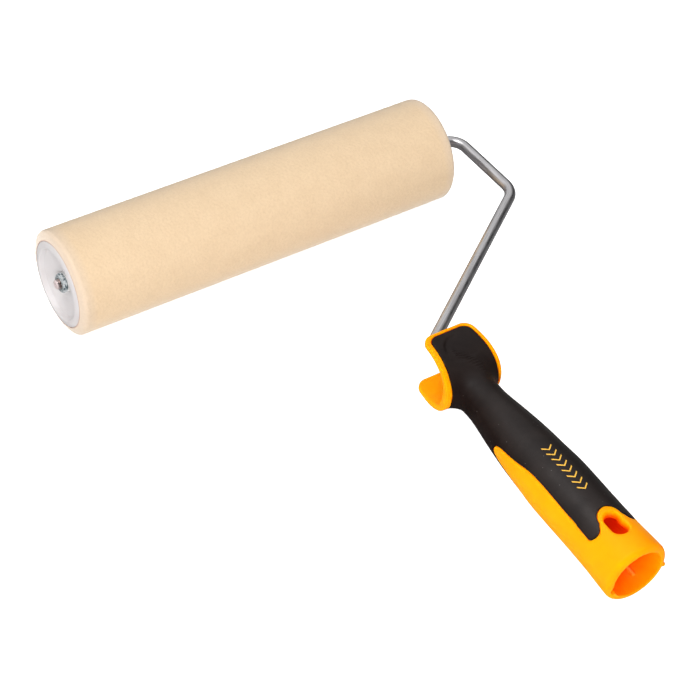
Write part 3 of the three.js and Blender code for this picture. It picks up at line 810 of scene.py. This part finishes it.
def pile_cover():
    """The fabric: a turned shape whose surface is broken up into tufts."""
    start = pile_end()
    start[:, 0] += OUTER_END
    end = pile_end()[::-1]
    end[:, 0] = INNER_END - end[:, 0]
    length = end[0, 0] - start[-1, 0]
    rows = int(length / PILE_STEP)
    x = np.linspace(start[-1, 0], end[0, 0], rows + 1)[1:-1]
    middle = np.stack([x, np.full_like(x, PILE_RADIUS)], 1)
    outer = np.vstack([start, middle, end])
    points = turned_points(outer, PILE_SEGMENTS)
    step = 2 * np.pi * PILE_RADIUS / PILE_SEGMENTS
    n = len(outer)
    angles = np.linspace(0, 2 * np.pi, PILE_SEGMENTS, endpoint=False)
    pressed = PILE_PRESSED * (1 + np.cos(angles - PILE_PRESSED_AT)) / 2
    crown = np.clip((outer[:PILE_END_ROWS, 1:] - CAP_RADIUS - 0.4) / 4, 0, 1) * pressed
    points[:PILE_END_ROWS, :, 0] += crown
    points[-PILE_END_ROWS:, :, 0] -= crown[::-1]
    relief = 0.065 * random_relief(n, PILE_SEGMENTS, PILE_STEP, step, 1.9, 0.35)
    relief += 0.02 * random_relief(n, PILE_SEGMENTS, PILE_STEP, step, 6.0, 0.4)
    share = np.interp(np.arange(n), [1, 5, n - 6, n - 2], [0, 1, 1, 0])[:, None]
    radius = np.hypot(points[..., 1], points[..., 2])
    grown = 1 + share * relief / radius
    points[..., 1] *= grown
    points[..., 2] *= grown
    points[..., 0] += share * 0.06 * rng.standard_normal(radius.shape)
    faces = grid_faces(n, PILE_SEGMENTS, wrap_rows=True)
    add_piece("pile_fabric", points, faces, "roller", PILE, ["pile_cover"], sharp=70)


def cap_profile():
    """The cap's section: a lip that leans outwards, dished face, hub with its counterbore, skirt."""
    floor = WASHER_HIGH[0] + 0.1
    flange, skirt, wall, hub = 1.8, 16.0, 1.8, 7.0
    bush_radius, bush_flange = 4.6, 5.9
    skirt_outer = CORE_RADIUS - CORE_WALL - 0.1
    crest = CAP_RADIUS - 3.9
    end = OUTER_END - 0.5
    return [
        (floor + 17.0, bush_radius), (floor + 1.0, bush_radius), (floor + 1.0, bush_flange),
        (floor, bush_flange), (floor, hub), (floor - 0.5, hub + 3.2), (floor - 1.5, 15.0),
        (floor - 2.9, crest - 1.3), (end + 0.4, crest - 0.5), (end - 0.1, crest), (end, crest + 1.2),
        (end + 0.35, CAP_RADIUS - 1.1), (end + 0.85, CAP_RADIUS), (end + flange, CAP_RADIUS),
        (end + flange, skirt_outer), (end + skirt, skirt_outer),
        (end + skirt, skirt_outer - wall), (end + flange + 2.2, skirt_outer - wall),
        (floor + wall + 0.4, 15.0), (floor + wall + 0.4, hub + 1.2), (floor + 17.0, hub),
    ]


def roller_pieces():
    """The roller's fabric, core, caps and bushes, and the loose washer at each end."""
    pile_cover()
    inner = CORE_RADIUS - CORE_WALL
    start, end = CORE_LOW[0], CORE_HIGH[0]
    core = rounded([(start, inner), (start, CORE_RADIUS), (end, CORE_RADIUS), (end, inner)], 0.25)
    turned_piece("core_card_tube", core, 120, "roller", CARD, ["core_tube"])
    cap = rounded(cap_profile(), 0.55)
    bore, face = WIRE_RADIUS + 0.1, BUSH_LOW[0]
    bush = rounded([
        (face, bore), (face, BUSH_HIGH[1]), (face + 0.9, BUSH_HIGH[1]), (face + 0.9, 4.5),
        (BUSH_HIGH[0], 4.5), (BUSH_HIGH[0], bore),
    ], 0.25)
    washer = rounded([
        (WASHER_LOW[0], bore), (WASHER_LOW[0], WASHER_HIGH[1]),
        (WASHER_HIGH[0], WASHER_HIGH[1]), (WASHER_HIGH[0], bore),
    ], 0.2)
    for side, place in (("outer", lambda p: p), ("inner", mirrored)):
        turned_piece(side + "_cap", place(cap), 128, "roller", CAP, [side + "_end_cap"])
        turned_piece(side + "_hub_bush", place(bush), 72, "roller", NYLON, [side + "_bush"])
        turned_piece(
            side + "_thin_washer", place(washer), 72, side + "_washer", NYLON, [side + "_washer"]
        )


# ---- Wire, nut and collar ---------------------------------------------------------------------------

def bent_path():
    """Points on the bent wire's axis as (x, y), and its heading at each."""
    corners = [np.array(c, float) for c in WIRE_CORNERS]
    points, headings = [corners[0]], [(1.0, 0.0)]
    for before, corner, after, radius in zip(corners, corners[1:], corners[2:], WIRE_BENDS):
        arriving = (corner - before) / np.linalg.norm(corner - before)
        leaving = (after - corner) / np.linalg.norm(after - corner)
        side = math.copysign(1, arriving[0] * leaving[1] - arriving[1] * leaving[0])
        turn = math.acos(arriving @ leaving)
        start = corner - arriving * radius * math.tan(turn / 2)
        centre = start + side * radius * np.array([-arriving[1], arriving[0]])
        for angle in np.linspace(0, side * turn, 22):
            spin = np.array([[math.cos(angle), -math.sin(angle)], [math.sin(angle), math.cos(angle)]])
            points.append(centre + spin @ (start - centre))
            headings.append(spin @ arriving)
    return np.array(points), np.array(headings)


def wire_frame():
    """The bent wire, swept as rings, with a cut thread on its free end and wings inside the handle."""
    points, headings = bent_path()
    segments = 56
    angles = np.linspace(0, 2 * np.pi, segments, endpoint=False)
    rings, grain = [], []

    def add_ring(centre, heading, radius, along):
        sideways = np.array([-heading[1], heading[0]])
        y = np.cos(angles)[:, None] * np.append(sideways, 0)
        z = np.sin(angles)[:, None] * np.array([0, 0, 1.0])
        rings.append(np.append(centre, 0) + np.reshape(radius, (-1, 1)) * (y + z))
        flat = np.stack([WIRE_RADIUS * np.cos(angles), WIRE_RADIUS * np.sin(angles)], 1)
        grain.append(np.column_stack([flat, np.full(segments, along)]) * MM)

    ahead = np.array([1.0, 0.0])
    for share in (0.05, 0.35, 0.62):
        add_ring(np.array([0.0, 0]), ahead, share * THREAD_RADIUS, 0)
    ridge = 0.55
    for x in np.arange(0, THREAD_LENGTH + 0.3, 0.125):
        lead_in = min(1.0, 0.74 + x / 3.2)
        phase = (x / THREAD_PITCH - angles / (2 * np.pi)) % 1
        depth = ridge * np.abs(2 * phase - 1) * np.clip((THREAD_LENGTH - x) / 0.8, 0, 1)
        add_ring(np.array([x, 0]), ahead, np.minimum(THREAD_RADIUS * lead_in, THREAD_RADIUS - depth), x)
    add_ring(np.array([THREAD_LENGTH + 0.5, 0]), ahead, WIRE_RADIUS - 0.15, THREAD_LENGTH)
    add_ring(np.array([THREAD_LENGTH + 0.8, 0]), ahead, WIRE_RADIUS, THREAD_LENGTH)
    along = THREAD_LENGTH
    for before, here, heading in zip(points, points[1:], headings[1:]):
        along += np.linalg.norm(here - before)
        add_ring(here, heading, WIRE_RADIUS, along)
    bend_end, tail = points[-1], np.array([HANDLE_AXIS, WIRE_LOW[1]])
    back = np.array([0.0, -1.0])
    for off in (WING_HALF, WING_HALF - 1.5, WING_HALF - 3, 0, 3 - WING_HALF, 1.5 - WING_HALF, -WING_HALF):
        flat = math.sqrt(max(0.0, 1 - (off / WING_HALF) ** 2))
        wide = WIRE_RADIUS + (WING_HALF_WIDTH - WIRE_RADIUS) * flat
        high = WIRE_RADIUS + (WING_HALF_HEIGHT - WIRE_RADIUS) * flat
        radius = 1 / np.hypot(np.cos(angles) / wide, np.sin(angles) / high)
        place = np.array([HANDLE_AXIS, WING_PLACE + off])
        add_ring(place, back, radius, along + np.linalg.norm(place - bend_end))
    along += np.linalg.norm(tail - bend_end)
    add_ring(tail + (0, 0.4), back, WIRE_RADIUS, along)
    for share in (0.88, 0.5, 0.05):
        add_ring(tail, back, share * WIRE_RADIUS, along)
    return np.vstack(rings), len(rings), segments, np.vstack(grain)


def wire_pieces():
    """The wire's rings as one piece, closed at both ends by strips of quads."""
    points, rows, segments, grain = wire_frame()
    half = np.arange(segments // 2 - 1)
    last = np.stack([half, half + 1, segments - 2 - half, segments - 1 - half], 1)
    first = last[:, ::-1]
    faces = np.vstack([grid_faces(rows, segments), first, last + (rows - 1) * segments])
    grains = {"grain": grain}
    add_piece("bent_wire", points, faces, "frame", WIRE, ["frame_rod"], 40, grains)


def nut():
    """A thin hexagon nut: chamfered corners, a countersunk and threaded bore."""
    segments = 192
    angles = np.linspace(0, 2 * np.pi, segments, endpoint=False)
    turn = math.radians(24 + 30)
    sector = (angles - turn) % (np.pi / 3) - np.pi / 6
    side = np.minimum(NUT_FLATS / 2 / np.cos(sector), NUT_FLATS / 2 / math.cos(math.radians(28)))
    crown = NUT_FLATS / 2 - 0.25
    slope = math.tan(math.radians(30))
    low, high = NUT_LOW[0], NUT_HIGH[0]
    bore = THREAD_RADIUS + 0.02
    drop = np.maximum(side - crown, 0) * slope
    rows = [(low + 0.45, bore), (low, bore + 0.5), (low, crown), (low + drop, side)]
    rows += [(high - drop, side), (high, crown), (high, bore + 0.5), (high - 0.45, bore)]
    for x in np.linspace(high - 0.6, low + 0.6, 16):
        ridge = np.abs(2 * ((x / THREAD_PITCH - angles / (2 * np.pi)) % 1) - 1)
        rows.append((x, bore + 0.4 * ridge))
    points = []
    for x, radius in rows:
        x, radius = np.broadcast_arrays(x, radius, angles)[:2]
        points.append(np.stack([x, radius * np.cos(angles), radius * np.sin(angles)], 1))
    faces = grid_faces(len(rows), segments, wrap_rows=True)
    add_piece("hex_nut", np.array(points), faces, "frame", ZINC, ["axle_nut"], 24)


def collar():
    """The collar pressed on the wire, its edges rounded."""
    bore = WIRE_RADIUS + 0.1
    profile = rounded([
        (COLLAR_LOW[0], bore), (COLLAR_LOW[0], COLLAR_HIGH[1]),
        (COLLAR_HIGH[0], COLLAR_HIGH[1]), (COLLAR_HIGH[0], bore),
    ], 0.6)
    turned_piece("pressed_collar", profile, 72, "frame", ZINC, ["stop_collar"])


# ---- Handle -----------------------------------------------------------------------------------------

def handle_pieces():
    """The orange moulding and the rubber, meshed on a grid that is finer where the head has ribs."""
    half, tall = HEAD_BACK_HALF + 3, HEAD_HALF_HEIGHT + 1.5
    cell = 0.56
    across, upright = np.arange(-half, half, cell), np.arange(-tall, tall, cell)
    grip = np.arange(HANDLE_END - 1.5, RIB_START - 14, cell)
    ribbed = np.arange(grip[-1] + cell, RIB_START, 0.7 * cell)
    front = np.arange(ribbed[-1] + cell, HEAD_FRONT + 1.5, cell)
    axes = [across, np.concatenate([grip, ribbed, front]), upright]
    shift = np.array([HANDLE_AXIS, 0, 0])
    for name, shape, material, slot, node in (
        ("orange_moulding", handle_distance, ORANGE, "orange_plastic", "handle_body"),
        ("rubber_grip", cover_distance, RUBBER, "black_rubber", "grip_cover"),
    ):
        points, quads = surface_net(shape, axes)
        add_piece(name, points + shift, quads, "frame", material, [node], 50)


def print_mark():
    """A plain row of thin chevrons printed on top of the grip."""
    lift, thick, stroke, steps = 0.12, 0.05, PRINT_STROKE, 10
    vertices, faces = [], []
    for tip in np.linspace(PRINT_START, PRINT_END, PRINT_COUNT):
        base = len(vertices)
        share = np.linspace(-1, 1, steps + 1)
        u = PRINT_CENTRE + share * PRINT_WIDTH / 2
        near = tip - (1 - np.abs(share)) * PRINT_SLANT
        for height in (lift, lift + thick):
            for edge in (near, near - stroke):
                z = np.sqrt((swell(edge) + height) ** 2 - u**2)
                vertices += list(zip(u + HANDLE_AXIS, edge, z))
        low_near, low_far, high_near, high_far = (base + k * (steps + 1) for k in range(4))
        for i in range(steps):
            strips = [
                (high_near, high_far), (high_far, low_far), (low_far, low_near), (low_near, high_near),
            ]
            faces += [[a + i, b + i, b + i + 1, a + i + 1] for a, b in strips]
        faces.append([low_near, low_far, high_far, high_near])
        faces.append([k + steps for k in (high_near, high_far, low_far, low_near)])
    add_piece("print_chevrons", vertices, faces, "frame", INK)


# ---- Stage ------------------------------------------------------------------------------------------

def stage():
    """A pale floor that the roller rests on."""
    size = 20.0
    mesh = bpy.data.meshes.new("floor")
    corners = [(-size, -size, 0), (size, -size, 0), (size, size, 0), (-size, size, 0)]
    mesh.from_pydata(corners, [], [(0, 1, 2, 3)])
    floor = bpy.data.objects.new("floor", mesh)
    bpy.context.scene.collection.objects.link(floor)
    floor.location = (0.12, 0, -(PILE_RADIUS + 0.35) * MM)
    paint = Shader("pale_floor")
    seen = paint.add("LightPath").outputs["Is Camera Ray"]
    mirrored_share = paint.add("LightPath").outputs["Is Glossy Ray"]
    glow = paint.add("Math", {0: seen, 1: 0.75}, operation="MULTIPLY").outputs[0]
    shade = paint.ramp(mirrored_share, (0.8, 0.8, 0.8), (0.25, 0.25, 0.25), 0.0, 1.0)
    paint.set(Base_Color=shade, Roughness=0.9, Specular_IOR_Level=0.1)
    paint.set(Emission_Color=(1, 1, 1, 1), Emission_Strength=glow)
    mesh.materials.append(paint.material)


def area_light(name, place, target, size, power, reflected=True):
    """A soft round light. It can be kept out of mirror-like reflections."""
    lamp = bpy.data.lights.new(name, "AREA")
    lamp.shape = "DISK"
    lamp.size, lamp.energy = size, power
    light = bpy.data.objects.new(name, lamp)
    bpy.context.scene.collection.objects.link(light)
    light.location = place
    light.rotation_euler = (Vector(target) - Vector(place)).to_track_quat("-Z", "Y").to_euler()
    light.visible_glossy = reflected


def studio():
    """A light tent: bright from the left, the back and above, dark to the right and behind the camera."""
    scene = bpy.context.scene
    world = bpy.data.worlds.new("studio")
    scene.world = world
    world.use_nodes = True
    nodes, links = world.node_tree.nodes, world.node_tree.links
    coords = nodes.new("ShaderNodeTexCoord")

    def gradient(direction, start, end, low, high):
        """A value that goes from low to high as the view turns towards a direction."""
        facing = nodes.new("ShaderNodeVectorMath")
        facing.operation = "DOT_PRODUCT"
        facing.inputs[1].default_value = direction
        spread = nodes.new("ShaderNodeMapRange")
        for key, value in zip(("From Min", "From Max", "To Min", "To Max"), (start, end, low, high)):
            spread.inputs[key].default_value = value
        links.new(coords.outputs["Generated"], facing.inputs[0])
        links.new(facing.outputs["Value"], spread.inputs["Value"])
        return spread.outputs["Result"]

    both_ways = nodes.new("ShaderNodeMath")
    both_ways.operation = "MULTIPLY"
    links.new(gradient((-0.75, 0.1, 0.65), -0.24, -0.04, 0.07, 0.80), both_ways.inputs[0])
    links.new(gradient((-0.42, -0.56, 0.71), 0.70, 0.90, 1.0, 0.12), both_ways.inputs[1])
    nodes["Background"].inputs["Color"].default_value = (1, 1, 1, 1)
    links.new(both_ways.outputs[0], nodes["Background"].inputs["Strength"])
    centre = (0.13, -0.14, 0)
    area_light("key", (-0.45, 0.1, 1.8), centre, 1.0, 13)
    area_light("front", (-0.9, -1.5, 0.8), centre, 0.7, 24, reflected=False)
    scene.view_settings.view_transform = "Standard"
    scene.view_settings.look = "None"


def camera():
    """The viewing angle: direction towards the object, roll, distance and lens."""
    azimuth, elevation, roll = (math.radians(a) for a in (-37.16, 45.565, 6.217))
    target, distance = Vector((115.63, -118.71, 0)) * MM, 1218.2 * MM
    back = Vector((
        math.sin(azimuth) * math.cos(elevation),
        -math.cos(azimuth) * math.cos(elevation),
        math.sin(elevation),
    ))
    data = bpy.data.cameras.new("camera")
    data.lens, data.sensor_width = 116.345, 36.0
    data.clip_start, data.clip_end = 0.05, 50
    view = bpy.data.objects.new("camera", data)
    bpy.context.scene.collection.objects.link(view)
    look = (-back).to_track_quat("-Z", "Y").to_matrix().to_4x4()
    view.matrix_world = Matrix.Translation(target + back * distance) @ look @ Matrix.Rotation(roll, 4, "Z")
    bpy.context.scene.camera = view


roller_pieces()
wire_pieces()
nut()
collar()
handle_pieces()
print_mark()
stage()
studio()
camera()
